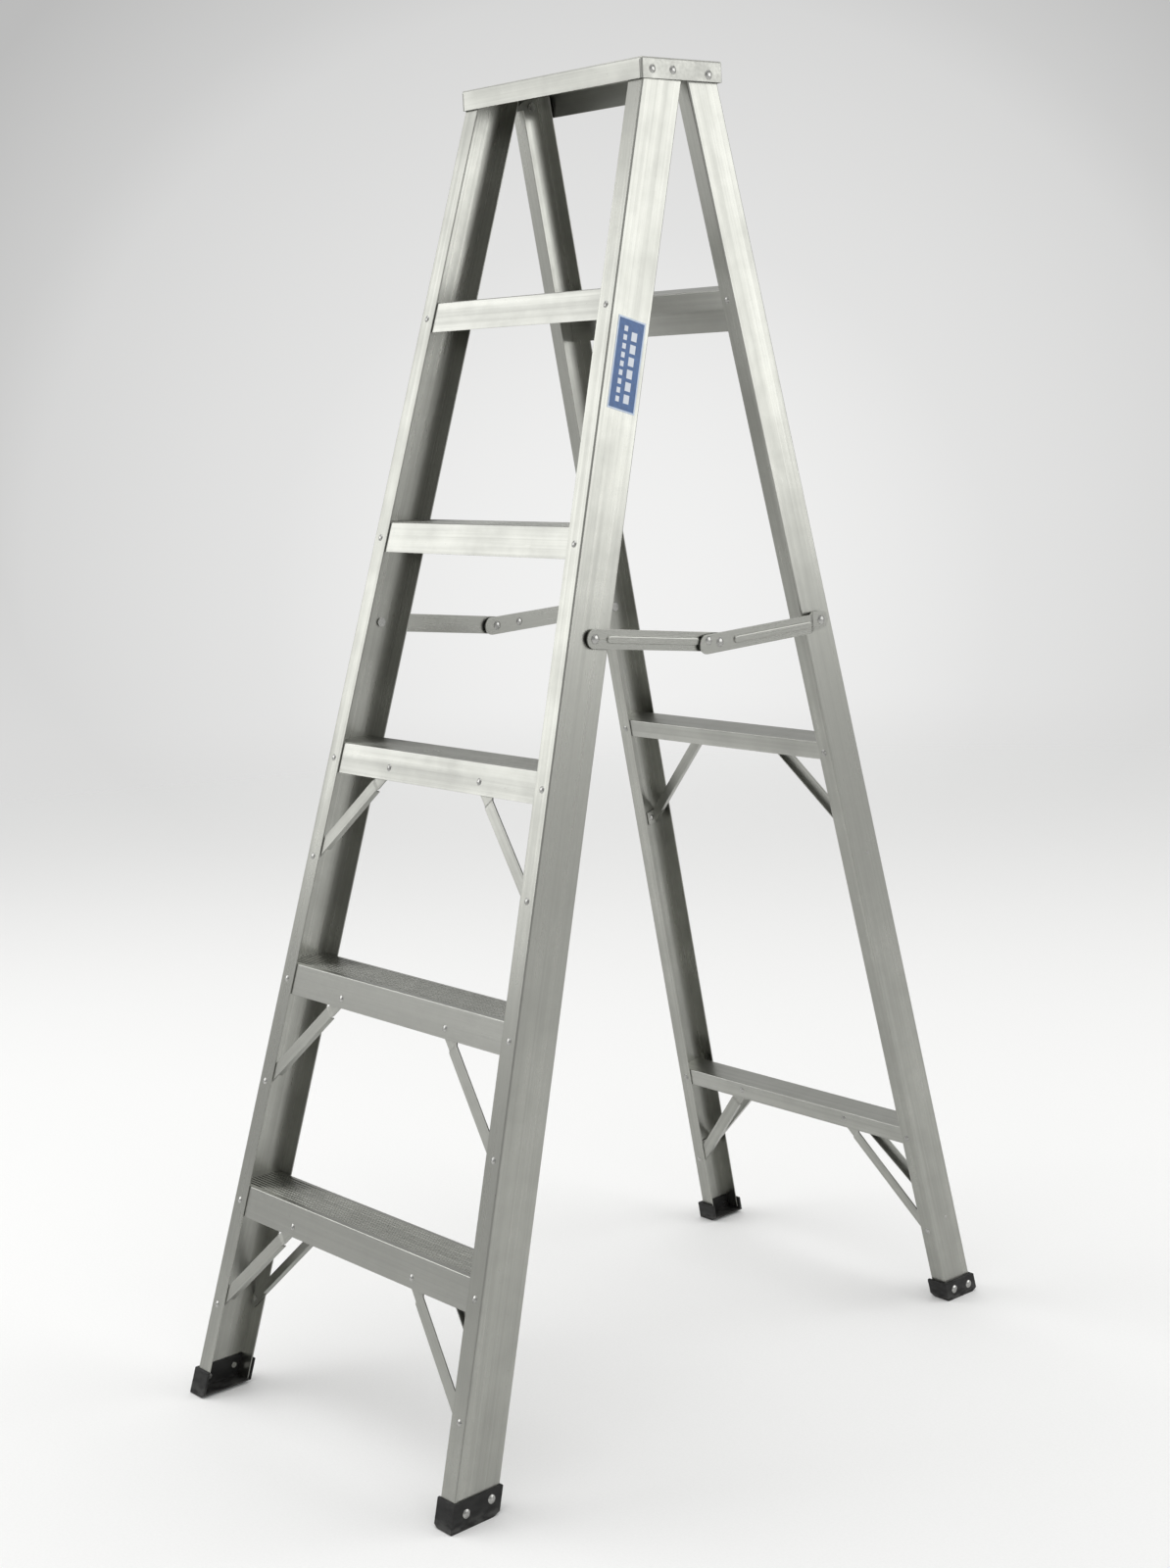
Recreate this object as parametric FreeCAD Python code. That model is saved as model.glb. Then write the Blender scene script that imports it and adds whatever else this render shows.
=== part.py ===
import FreeCAD, Part
import math
import os

# Aluminium step ladder with four legs, standing open. Sizes are in millimetres.
# +Z is up, +Y points from the climbing side to the rear legs and +X is the climber's
# right. The origin is under the middle of the ladder, on the floor.
# Every leaning section is drawn in its own frame: x across the ladder, d from the front
# of the rails towards their back, s up along the rails from the floor.

Vec = FreeCAD.Vector
AXIS_X = Vec(1, 0, 0)
AXIS_Y = Vec(0, 1, 0)
AXIS_Z = Vec(0, 0, 1)
LEFT = -1
RIGHT = 1
SIDES = ((LEFT, "left"), (RIGHT, "right"))

# Front section
STEP_PITCH = 304.8
TREAD_COUNT = 5
LOWEST_TREAD_S = 289.5
FRONT_SLOPE_RUN = 3.5
FRONT_SLOPE_RISE = 12.0
FRONT_HALF_WIDTH = 285.2
FRONT_TAPER_DEG = 3.36
FRONT_RAIL_DEPTH = 66.2
FRONT_RAIL_FLANGE = 27.5
FRONT_RAIL_WALL = 2.0

# Rear section
REAR_LEAN_DEG = 11.57
REAR_TAPER_DEG = 2.46
REAR_RAIL_DEPTH = 52.3
REAR_RAIL_FLANGE = 23.8
REAR_RAIL_WALL = 1.8
RAIL_EDGE_RADIUS = 2.5

# Top cap
CAP_DROP = 6.2083
CAP_HEIGHT = 27.0
CAP_REAR_HEIGHT = 33.5
CAP_FRONT_GAP = 1.167
CAP_SIDE_GAP = 0.457
CAP_REAR_GAP = 0.958
CAP_WALL = 2.0
CAP_EDGE_RADIUS = 3.0
CAP_SEAM = 0.9
CAP_SEAM_LEFT = 4.0
CAP_REAR_NOTCH = 16.0
RAIL_TOP_GAP = 0.5

# Fold pivot between the rear rails and the cap
FOLD_BEHIND_RAIL = 41.25
FOLD_BELOW_CAP_TOP = 18.0
FOLD_DEPTH = 33.52
FOLD_SPACER = 2.9
FOLD_SPACER_GAP = 1.1
REAR_TOP_ABOVE_PIVOT = 11.0
REAR_TOP_FLAT_AHEAD = 10.0
REAR_FLANGE_BELOW_PIVOT = 2.0

# Treads
TREAD_FRONT_HEIGHT = 41.0
TREAD_REAR_HEIGHT = 28.0
TREAD_WALL = 2.0
TREAD_NOSE_RADIUS = 1.8
TREAD_END_GAP = 0.3
RIB_HEIGHT = 1.2
RIB_WIDTH = 2.4
RIB_PITCH = 5.2
RIB_START = 4.5
TREAD_RIVET_DROP = 22.0
TREAD_REAR_RIVET_DROP = 15.0
FLANGE_RIVET_INSET = 13.5

# Braces: reach in from the foot, drop below the tread or bar edge at the top, inset of the
# foot from the web's outer face, drop of the foot
BRACE_WIDTH = 16.5
BRACE_WALL = 1.8
BRACE_END = 9.0
BRACE_LIP = 6.0
BRACE_LIP_WALL = 1.5
BRACE_LIP_INSET = 26.0
BRACE_TOP_GAP = 0.4
FRONT_BRACES = {
    5: (136.0, 28.5, 11.9, 165.0),
    4: (135.5, 28.3, 12.9, 163.5),
    3: (132.5, 24.2, 13.7, 158.2),
}
REAR_BRACE = (158.0, 15.0, 9.5, 176.0)

# Rear cross bars
BAR_DEPTH = 38.2
BAR_FLANGE = 25.0
BAR_WALL = 1.8
BAR_EDGE_RADIUS = 1.5
BAR_RIVET_DROP = 14.0
TOP_BAR_BELOW_FOLD = 272.149
TOP_BAR_REAR_FLANGE = 62.0
MIDDLE_BAR_BELOW_SPREADER = 168.2
BOTTOM_BAR_S = 265.7
BOTTOM_BRACE = (131.0, 11.0, 11.6, 159.5)
BOTTOM_REAR_BRACE = (143.5, 12.0, 148.0)
MIDDLE_BRACE = (153.5, 12.0, 168.0)
BRACE_TAB_DEPTH = 16.0
BRACE_TAB_HEIGHT = 20.0

# Shoes
SHOE_SOLE = 6.0
FRONT_SHOE_HEIGHT = 34.0
FRONT_SHOE_OUTER = 3.0
FRONT_SHOE_INNER = 29.8
FRONT_SHOE_AHEAD = 3.0
FRONT_SHOE_BEHIND = 2.2
REAR_SHOE_HEIGHT = 26.0
REAR_SHOE_OUTER = 5.0
REAR_SHOE_INNER = 28.0
REAR_SHOE_AHEAD = 4.5
REAR_SHOE_BEHIND = 3.5
SHOE_POCKET_GAP = 0.15
SHOE_LINER = 2.0
SHOE_HEEL_RUN = 9.0
SHOE_HEEL_RISE = 4.0
SHOE_INNER_RUN = 8.0
SHOE_INNER_RISE = 4.5
SHOE_EDGE_RADIUS = 1.5

# Rivets in shoes and cap: way behind the front edge or ahead of the back edge, and height
FRONT_SHOE_RIVET_AHEAD = (17.75, 18.0)
FRONT_SHOE_RIVET_BEHIND = (13.37, 22.0)
REAR_SHOE_RIVET_AHEAD = (12.57, 14.0)
REAR_SHOE_RIVET_BEHIND = (10.52, 13.0)
CAP_RIVETS_BEHIND = (18.0, 53.4)
CAP_RIVET_DROP = 15.0

# Spreaders
SPREADER_FRONT_D = 38.0
SPREADER_TREAD = 3
SPREADER_ABOVE_TREAD = 171.9
SPREADER_REAR_D = 29.0
SPREADER_FALL = 18.505
SPREADER_DROP = 16.5
LINK_HALF_HEIGHT = 12.5
LINK_WALL = 2.0
LINK_FRONT_GAP = 3.18
LINK_REAR_GAP = 3.355
LINK_LAP_STEP = 5.3
LINK_TAIL = {LEFT: 8.5, RIGHT: 22.5}
LINK_JOG_START = 39.4
LINK_JOG_END = 15.4
BEAD_HALF_WIDTH = 5.0
BEAD_HEIGHT = 2.4
BEAD_EDGE_RADIUS = 2.0
FRONT_BEAD = (24.0, 38.0)
REAR_BEAD_START = {LEFT: 55.0, RIGHT: 30.0}
REAR_BEAD_END = 44.4
STOP_STUD = {LEFT: (41.0, 0.0), RIGHT: (-20.0, 5.0)}
SPACER_RADIUS = 9.0
SPACER_GAP = 0.25
LAP_GAP = 0.6
WEB_TILT_GAP = 0.6

# Label on the outside of the right front rail
LABEL_BELOW_TREAD = (148.3, 29.7)
LABEL_D = (12.0, 58.5)
LABEL_WALL = 0.3

# Rivets: head radius, head height, shank radius, tail radius, tail height
SMALL_RIVET = (4.5, 1.6, 2.3, 3.4, 1.2)
LARGE_RIVET = (5.7, 2.2, 2.6, 4.0, 1.5)
PIVOT_RIVET = (6.3, 2.4, 4.0, 6.3, 1.8)
STUD_RIVET = (5.6, 2.0, 3.0, 3.0, 0.0)
RIVET_HOLE_GAP = 0.05
PIVOT_HOLE_GAP = 0.06

# Long enough to pass through anything on the ladder
REACH = 3000.0


class Section:
    """One leaning half of the ladder, with a pair of channel rails."""

    def __init__(self, foot_y, lean_deg, half_width, taper_deg, depth, flange, wall):
        self.half_width = half_width
        self.taper_deg = taper_deg
        self.depth = depth
        self.flange = flange
        self.wall = wall
        turn = FreeCAD.Rotation(AXIS_X, -lean_deg)
        self.frame = FreeCAD.Placement(Vec(0, foot_y, 0), turn)

    def point(self, x, d, s):
        return self.frame.multVec(Vec(x, d, s))

    def along(self, x, d, s):
        return self.frame.Rotation.multVec(Vec(x, d, s))

    def local(self, y, z):
        return self.frame.inverse().multVec(Vec(0, y, z))

    def half_at(self, s):
        return self.half_width - math.tan(math.radians(self.taper_deg)) * s

    def rail_frame(self, side):
        turn = FreeCAD.Rotation(AXIS_Y, -side * self.taper_deg)
        return self.frame.multiply(FreeCAD.Placement(Vec(side * self.half_width, 0, 0), turn))

    def web_normal(self, side):
        return self.rail_frame(side).Rotation.multVec(Vec(side, 0, 0))

    def web_point(self, side, out, d, s):
        return self.rail_frame(side).multVec(Vec(side * out, d, s))

    def above_s(self, s):
        """Everything further up the section than s."""
        box = Part.makeBox(REACH, REACH, REACH, Vec(-REACH / 2, -REACH / 2, s))
        box.Placement = self.frame
        return box

    def rail_box(self, side, outs, depths, lengths):
        """A box measured outwards from one web's outer face, along d and along s."""
        low = min(side * outs[0], side * outs[1])
        size = (outs[1] - outs[0], depths[1] - depths[0], lengths[1] - lengths[0])
        box = Part.makeBox(size[0], size[1], size[2], Vec(low, depths[0], lengths[0]))
        box.Placement = self.rail_frame(side)
        return box


FRONT_LEAN_DEG = math.degrees(math.atan2(FRONT_SLOPE_RUN, FRONT_SLOPE_RISE))
front = Section(0.0, FRONT_LEAN_DEG, FRONT_HALF_WIDTH, FRONT_TAPER_DEG,
                FRONT_RAIL_DEPTH, FRONT_RAIL_FLANGE, FRONT_RAIL_WALL)


def tread_s(number):
    """Rail distance of a tread's front top edge; tread 1 is the highest."""
    return LOWEST_TREAD_S + STEP_PITCH * (TREAD_COUNT - number)


def front_y(d, z):
    """World y of the front section's plane at depth d and height z."""
    lean = math.radians(FRONT_LEAN_DEG)
    return (d + z * math.sin(lean)) / math.cos(lean)


# The cap closes over the tops of the front rails.
CAP_TOP_Z = front.point(0, 0, tread_s(0) - CAP_DROP).z
cap_skirt_z = CAP_TOP_Z - CAP_HEIGHT
cap_rear_z = CAP_TOP_Z - CAP_REAR_HEIGHT
rail_edge_y = front_y(0, cap_skirt_z)
CAP_FRONT_Y = rail_edge_y - CAP_FRONT_GAP - CAP_WALL
cap_inner_x = front.half_at(front.local(rail_edge_y, cap_skirt_z).z) + CAP_SIDE_GAP
CAP_HALF_WIDTH = cap_inner_x + CAP_WALL

# The rear section hangs from the fold pivot inside the cap.
FOLD_Z = CAP_TOP_Z - FOLD_BELOW_CAP_TOP
FOLD_Y = front_y(FRONT_RAIL_DEPTH, FOLD_Z) + FOLD_BEHIND_RAIL
rear_lean = math.radians(REAR_LEAN_DEG)
REAR_FOOT_Y = FOLD_Y + FOLD_Z * math.tan(rear_lean) - FOLD_DEPTH / math.cos(rear_lean)
fold_s = (REAR_FOOT_Y - FOLD_Y) * math.sin(rear_lean) + FOLD_Z * math.cos(rear_lean)
rear_half_at_fold = cap_inner_x - FOLD_SPACER - FOLD_SPACER_GAP
REAR_HALF_WIDTH = rear_half_at_fold + math.tan(math.radians(REAR_TAPER_DEG)) * fold_s
rear = Section(REAR_FOOT_Y, -REAR_LEAN_DEG, REAR_HALF_WIDTH, REAR_TAPER_DEG,
               REAR_RAIL_DEPTH, REAR_RAIL_FLANGE, REAR_RAIL_WALL)


def rear_y(d, z):
    """World y of the rear section's plane at depth d and height z."""
    return REAR_FOOT_Y + (d - z * math.sin(rear_lean)) / math.cos(rear_lean)


CAP_REAR_Y = rear_y(REAR_RAIL_DEPTH, cap_rear_z) + CAP_REAR_GAP + CAP_WALL

# The spreaders' front pivots sit above one tread and their rear pivots a little lower.
SPREADER_FRONT_S = tread_s(SPREADER_TREAD) + SPREADER_ABOVE_TREAD
pivot_a = front.point(0, SPREADER_FRONT_D, SPREADER_FRONT_S)
rear_pivot_rise = pivot_a.z - SPREADER_FALL - SPREADER_REAR_D * math.sin(rear_lean)
SPREADER_REAR_S = rear_pivot_rise / math.cos(rear_lean)
LINK_INNER_X = front.half_at(SPREADER_FRONT_S) + LINK_FRONT_GAP
LINK_REAR_X = rear.half_at(SPREADER_REAR_S) + LINK_REAR_GAP

# Each rear bar: s of its front top edge and the height of its rear flange.
BARS = {
    "top": (fold_s - TOP_BAR_BELOW_FOLD, TOP_BAR_REAR_FLANGE),
    "middle": (SPREADER_REAR_S - MIDDLE_BAR_BELOW_SPREADER, BAR_FLANGE),
    "bottom": (BOTTOM_BAR_S, BAR_FLANGE),
}

parts = {}
holes = {}
groups = {}


def rounded_face(corners, plane):
    """A flat face with straight edges and the stated radius at each corner."""
    points = [plane(a, b) for a, b, radius in corners]
    count = len(points)
    turns = []
    for index in range(count):
        here = points[index]
        radius = corners[index][2]
        back = (points[index - 1] - here).normalize()
        ahead = (points[(index + 1) % count] - here).normalize()
        if radius == 0:
            turns.append((here, None, here))
            continue
        half = back.getAngle(ahead) / 2
        reach = radius / math.tan(half)
        inward = (back + ahead).normalize()
        middle = here + inward * (radius / math.sin(half) - radius)
        turns.append((here + back * reach, middle, here + ahead * reach))
    edges = []
    for index in range(count):
        start, middle, end = turns[index]
        if middle is not None:
            edges.append(Part.Arc(start, middle, end).toShape())
        edges.append(Part.makeLine(end, turns[(index + 1) % count][0]))
    return Part.Face(Part.Wire(edges))


def side_plane(x):
    """Draws in the plane seen from the ladder's side, at one x."""
    return lambda y, z: Vec(x, y, z)


def across(corners, half_width):
    """A profile seen from the side, run across the ladder."""
    return rounded_face(corners, side_plane(-half_width)).extrude(Vec(2 * half_width, 0, 0))


def cylinder(centre, direction, radius, length):
    return Part.makeCylinder(radius, length, centre, direction)


def rivet(point, direction, grip, style):
    """A domed head at the point and a formed tail at the far side of the grip."""
    head_radius, head_height, shank_radius, tail_radius, tail_height = style
    dome = (head_radius ** 2 + head_height ** 2) / (2 * head_height)
    half_turn = math.asin(min(1.0, head_radius / dome)) / 2
    crown = Vec(dome * math.sin(half_turn), 0, dome - head_height - dome * math.cos(half_turn))
    outline = [Vec(head_radius, 0, 0), Vec(shank_radius, 0, 0), Vec(shank_radius, 0, grip)]
    if tail_height > 0:
        outline.append(Vec(tail_radius, 0, grip))
        outline.append(Vec(tail_radius, 0, grip + tail_height))
    outline.append(Vec(0, 0, grip + tail_height))
    outline.append(Vec(0, 0, -head_height))
    edges = [Part.Arc(outline[-1], crown, outline[0]).toShape()]
    for start, end in zip(outline[:-1], outline[1:]):
        edges.append(Part.makeLine(start, end))
    solid = Part.Face(Part.Wire(edges)).revolve(Vec(0, 0, 0), AXIS_Z, 360)
    solid.Placement = FreeCAD.Placement(point, FreeCAD.Rotation(AXIS_Z, direction))
    return solid


def drill(names, point, direction, length, radius):
    """Remembers a hole to be made through each named part."""
    start = point - direction * length
    for name in names:
        holes.setdefault(name, []).append(cylinder(start, direction, radius, 3 * length))


def fasten(group, names, point, direction, grip, style):
    """One rivet with its hole through the named parts."""
    direction = Vec(direction).normalize()
    groups.setdefault(group, []).append(rivet(point, direction, grip, style))
    drill(names, point, direction, grip, style[2] + RIVET_HOLE_GAP)


def above(z):
    return Part.makeBox(REACH, REACH, REACH, Vec(-REACH / 2, -REACH / 2, z))


def channel_rail(section, side, length):
    """A channel whose web faces outwards and whose flanges point inwards."""
    flange = -section.flange
    wall = section.wall
    depth = section.depth
    tip = wall / 2 - 0.1
    corners = [(0, 0, RAIL_EDGE_RADIUS), (flange, 0, tip), (flange, wall, tip), (-wall, wall, 0),
               (-wall, depth - wall, 0), (flange, depth - wall, tip), (flange, depth, tip),
               (0, depth, RAIL_EDGE_RADIUS)]
    face = rounded_face(corners, lambda x, d: Vec(side * x, d, 0))
    rail = face.extrude(Vec(0, 0, length))
    rail.Placement = section.rail_frame(side)
    return rail


def between_webs(section, shape, gap):
    """Trims a cross member so that its ends follow the two webs."""
    for side in (LEFT, RIGHT):
        outs = (-section.wall - gap, REACH / 2)
        shape = shape.cut(section.rail_box(side, outs, (-REACH / 2, REACH / 2), (-REACH, REACH)))
    return shape


# ---------------------------------------------------------------- front and rear rails
rail_top_z = CAP_TOP_Z - CAP_WALL - RAIL_TOP_GAP
fold_front = front.local(FOLD_Y, FOLD_Z)
fold_rear = rear.local(FOLD_Y, FOLD_Z)

for side, word in SIDES:
    rail = channel_rail(front, side, REACH)
    rail = rail.common(above(SHOE_SOLE))
    parts["front_rail_" + word] = rail.cut(above(rail_top_z))

    rail = channel_rail(rear, side, REACH)
    rail = rail.common(above(SHOE_SOLE))
    crown_s = fold_rear.z + REAR_TOP_ABOVE_PIVOT
    corners = [(-REAR_RAIL_WALL, fold_rear.z - REAR_FLANGE_BELOW_PIVOT, 0),
               (fold_rear.y - REAR_TOP_FLAT_AHEAD, crown_s, 0),
               (REAR_RAIL_DEPTH + REAR_RAIL_WALL, crown_s, 0),
               (REAR_RAIL_DEPTH + REAR_RAIL_WALL, REACH, 0),
               (-REAR_RAIL_WALL, REACH, 0)]
    tool = rounded_face(corners, lambda d, s: Vec(-REACH / 2, d, s)).extrude(Vec(REACH, 0, 0))
    tool.Placement = rear.frame
    parts["rear_rail_" + word] = rail.cut(tool)


# ---------------------------------------------------------------- top cap
def box_between(x, y, z):
    return Part.makeBox(x[1] - x[0], y[1] - y[0], z[1] - z[0], Vec(x[0], y[0], z[0]))


def edges_round_top(box, z):
    """The upper rim and the upright corners of a box."""
    picked = []
    for edge in box.Edges:
        upright = abs(edge.tangentAt(edge.FirstParameter).z) > 0.5
        if upright or abs(edge.CenterOfMass.z - z) < 0.01:
            picked.append(edge)
    return picked


outer = box_between((-CAP_HALF_WIDTH, CAP_HALF_WIDTH), (CAP_FRONT_Y, CAP_REAR_Y), (cap_rear_z, CAP_TOP_Z))
outer = outer.makeFillet(CAP_EDGE_RADIUS, edges_round_top(outer, CAP_TOP_Z))
cap_inner_top = CAP_TOP_Z - CAP_WALL
inner = box_between((-cap_inner_x, cap_inner_x), (CAP_FRONT_Y + CAP_WALL, CAP_REAR_Y - CAP_WALL),
                    (cap_rear_z - 1, cap_inner_top))
inner = inner.makeFillet(CAP_EDGE_RADIUS - CAP_WALL, edges_round_top(inner, cap_inner_top))
cap = outer.cut(inner)
cap = cap.cut(box_between((-REACH, REACH), (CAP_FRONT_Y - 1, CAP_REAR_Y - CAP_WALL - CAP_EDGE_RADIUS),
                          (cap_rear_z - 1, cap_skirt_z)))
for side in (LEFT, RIGHT):
    near = side * (cap_inner_x - CAP_EDGE_RADIUS + CAP_WALL)
    far = near - side * CAP_SEAM
    for y in (CAP_FRONT_Y, CAP_REAR_Y - CAP_WALL):
        cap = cap.cut(box_between((min(near, far), max(near, far)), (y - 1, y + CAP_WALL + 1),
                                  (cap_rear_z - 1, CAP_TOP_Z - CAP_SEAM_LEFT)))
    notch = sorted((side * (CAP_HALF_WIDTH - CAP_REAR_NOTCH), side * REACH))
    cap = cap.cut(box_between(notch, (CAP_FRONT_Y, CAP_REAR_Y + 1), (cap_rear_z - 1, cap_skirt_z)))
parts["top_cap"] = cap

for side, word in SIDES:
    inward = Vec(-side, 0, 0)
    for behind in CAP_RIVETS_BEHIND:
        y = CAP_FRONT_Y + behind
        z = CAP_TOP_Z - CAP_RIVET_DROP
        web_x = front.half_at(front.local(y, z).z) - FRONT_RAIL_WALL
        grip = CAP_HALF_WIDTH - web_x + WEB_TILT_GAP / 2
        fasten("cap_rivets", ("top_cap", "front_rail_" + word), Vec(side * CAP_HALF_WIDTH, y, z),
               inward, grip, LARGE_RIVET)

# ---------------------------------------------------------------- fold pivots
for side, word in SIDES:
    inward = Vec(-side, 0, 0)
    pivot = Vec(side * CAP_HALF_WIDTH, FOLD_Y, FOLD_Z)
    web_x = rear.half_at(fold_rear.z) - REAR_RAIL_WALL
    grip = CAP_HALF_WIDTH - web_x + WEB_TILT_GAP
    pin = rivet(pivot, inward, grip, PIVOT_RIVET)
    parts["fold_pivot_" + word] = pin
    drill(("top_cap", "rear_rail_" + word), pivot, inward, grip, PIVOT_RIVET[2] + PIVOT_HOLE_GAP)
    start = Vec(side * cap_inner_x, FOLD_Y, FOLD_Z)
    spacer = cylinder(start, inward, SPACER_RADIUS, FOLD_SPACER)
    spacer = spacer.cut(cylinder(pivot, inward, PIVOT_RIVET[2] + PIVOT_HOLE_GAP, grip))
    groups.setdefault("fold_spacers", []).append(spacer)


# ---------------------------------------------------------------- treads
def tread_under_z(number):
    """Height of the flat underside of a tread."""
    return front.point(0, FRONT_RAIL_WALL, tread_s(number)).z - RIB_HEIGHT - TREAD_WALL


def down(section, y, z, length):
    """The point a given way down the rails' direction from y, z."""
    step = section.along(0, 0, -length)
    return y + step.y, z + step.z


tread_rear_s = {}
for number in range(1, TREAD_COUNT + 1):
    corner = front.point(0, FRONT_RAIL_WALL, tread_s(number))
    top = corner.z
    floor_top = top - RIB_HEIGHT
    under = tread_under_z(number)
    far_d = FRONT_RAIL_DEPTH - FRONT_RAIL_WALL
    y_front = corner.y
    y_rear = front_y(far_d, top)
    tread_rear_s[number] = front.local(y_rear, top).z
    profile = [(y_front, top, TREAD_NOSE_RADIUS)]
    rib_room = y_rear - y_front - 2 * RIB_START - RIB_WIDTH
    for rib in range(int(rib_room / RIB_PITCH) + 1):
        start = y_front + RIB_START + rib * RIB_PITCH
        if rib > 0:
            profile.append((start, floor_top, 0))
            profile.append((start, top, 0))
        profile.append((start + RIB_WIDTH, top, 0))
        profile.append((start + RIB_WIDTH, floor_top, 0))
    profile.append((front_y(far_d, floor_top), floor_top, TREAD_NOSE_RADIUS / 2))
    low_rear = down(front, y_rear, top, TREAD_REAR_HEIGHT)
    low_inner = down(front, front_y(far_d - TREAD_WALL, top), top, TREAD_REAR_HEIGHT)
    profile.append((low_rear[0], low_rear[1], 0))
    profile.append((low_inner[0], low_inner[1], 0))
    profile.append((front_y(far_d - TREAD_WALL, under), under, 0))
    front_inner_d = FRONT_RAIL_WALL + TREAD_WALL
    profile.append((front_y(front_inner_d, under), under, 0))
    low_inner = down(front, front_y(front_inner_d, top), top, TREAD_FRONT_HEIGHT)
    low_front = down(front, y_front, top, TREAD_FRONT_HEIGHT)
    profile.append((low_inner[0], low_inner[1], 0))
    profile.append((low_front[0], low_front[1], 0))
    name = "tread_%d" % number
    parts[name] = between_webs(front, across(profile, FRONT_HALF_WIDTH), TREAD_END_GAP)

    for side, word in SIDES:
        rail_name = "front_rail_" + word
        s = tread_s(number) - TREAD_RIVET_DROP
        x = side * (front.half_at(s) - FLANGE_RIVET_INSET)
        grip = FRONT_RAIL_WALL + TREAD_WALL
        fasten("tread_rivets", (name, rail_name), front.point(x, 0, s), front.along(0, 1, 0),
               grip, SMALL_RIVET)
        s = tread_rear_s[number] - TREAD_REAR_RIVET_DROP
        x = side * (front.half_at(s) - FLANGE_RIVET_INSET)
        fasten("tread_rivets", (name, rail_name), front.point(x, FRONT_RAIL_DEPTH, s),
               front.along(0, -1, 0), grip, SMALL_RIVET)


# ---------------------------------------------------------------- braces
def strap(section, top_end, foot_end, faces, step_at, sense, lip_side):
    """A flat brace with a small joggle and one edge folded over.

    The ends are (x, s) in the section's frame. faces holds the depth of the face that
    meets the tread or bar and of the face that meets the rail, step_at is how far along
    the joggle lies and sense is the way the thickness goes.
    """
    start = Vec(top_end[0], 0, top_end[1])
    run = Vec(foot_end[0], 0, foot_end[1]) - start
    length = run.Length
    run.normalize()
    sideways = run.cross(AXIS_Y)
    thick = sense * BRACE_WALL
    ramp = abs(faces[1] - faces[0]) * 2
    centre_line = [(-BRACE_END, faces[0]), (step_at, faces[0]), (step_at + ramp, faces[1]),
                   (length + BRACE_END, faces[1])]
    if ramp == 0:
        centre_line = [centre_line[0], centre_line[3]]
    loop = [(a, b, 0) for a, b in centre_line]
    loop += [(a, b + thick, 0) for a, b in reversed(centre_line)]
    base = start - sideways * (BRACE_WIDTH / 2)
    face = rounded_face(loop, lambda a, b: base + run * a + AXIS_Y * b)
    body = face.extrude(sideways * BRACE_WIDTH)
    deep = faces[1] + thick / 2
    lip_depth = BRACE_LIP + BRACE_WALL / 2
    first = step_at + ramp + BRACE_WALL
    last = length - BRACE_LIP_INSET
    edge = base
    if lip_side > 0:
        edge = base + sideways * (BRACE_WIDTH - BRACE_LIP_WALL)
    lip_loop = [(first, deep, 0), (last, deep, 0), (last, deep + sense * lip_depth, 0),
                (first, deep + sense * lip_depth, 0)]
    lip = rounded_face(lip_loop, lambda a, b: edge + run * a + AXIS_Y * b)
    body = body.fuse(lip.extrude(sideways * BRACE_LIP_WALL)).removeSplitter()
    body.Placement = section.frame
    return between_webs(section, body, TREAD_END_GAP)


def brace_ends(section, side, s_edge, reach_in, drop, inset, foot_drop):
    """The two ends of a brace that runs from a tread or bar edge down to a rail."""
    foot_s = s_edge - foot_drop
    foot_x = section.half_at(foot_s) - inset
    return (side * (foot_x - reach_in), s_edge - drop), (side * foot_x, foot_s)


def leaves_at(top_end, foot_end, s_edge):
    """How far along a brace its whole width has passed below an edge at s_edge."""
    run = Vec(foot_end[0], 0, foot_end[1]) - Vec(top_end[0], 0, top_end[1])
    run.normalize()
    margin = abs(run.x) * BRACE_WIDTH / 2 + 1.0
    return (top_end[1] - s_edge + margin) / abs(run.z)


grip = FRONT_RAIL_WALL + BRACE_WALL
tread_grip = TREAD_WALL + BRACE_WALL
for number in sorted(FRONT_BRACES):
    reach_in, drop, inset, foot_drop = FRONT_BRACES[number]
    for side, word in SIDES:
        top_end, foot_end = brace_ends(front, side, tread_s(number), reach_in, drop, inset, foot_drop)
        faces = (FRONT_RAIL_WALL + TREAD_WALL, FRONT_RAIL_WALL)
        step_at = leaves_at(top_end, foot_end, tread_s(number) - TREAD_FRONT_HEIGHT)
        name = "tread_%d_brace_%s" % (number, word)
        brace = strap(front, top_end, foot_end, faces, step_at, 1, -side)
        parts[name] = brace.cut(above(tread_under_z(number) - BRACE_TOP_GAP))
        point = front.point(top_end[0], FRONT_RAIL_WALL, top_end[1])
        fasten("front_brace_rivets", (name, "tread_%d" % number), point, front.along(0, 1, 0),
               tread_grip, SMALL_RIVET)
        point = front.point(foot_end[0], 0, foot_end[1])
        fasten("front_brace_rivets", (name, "front_rail_" + word), point, front.along(0, 1, 0),
               grip, SMALL_RIVET)

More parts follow.
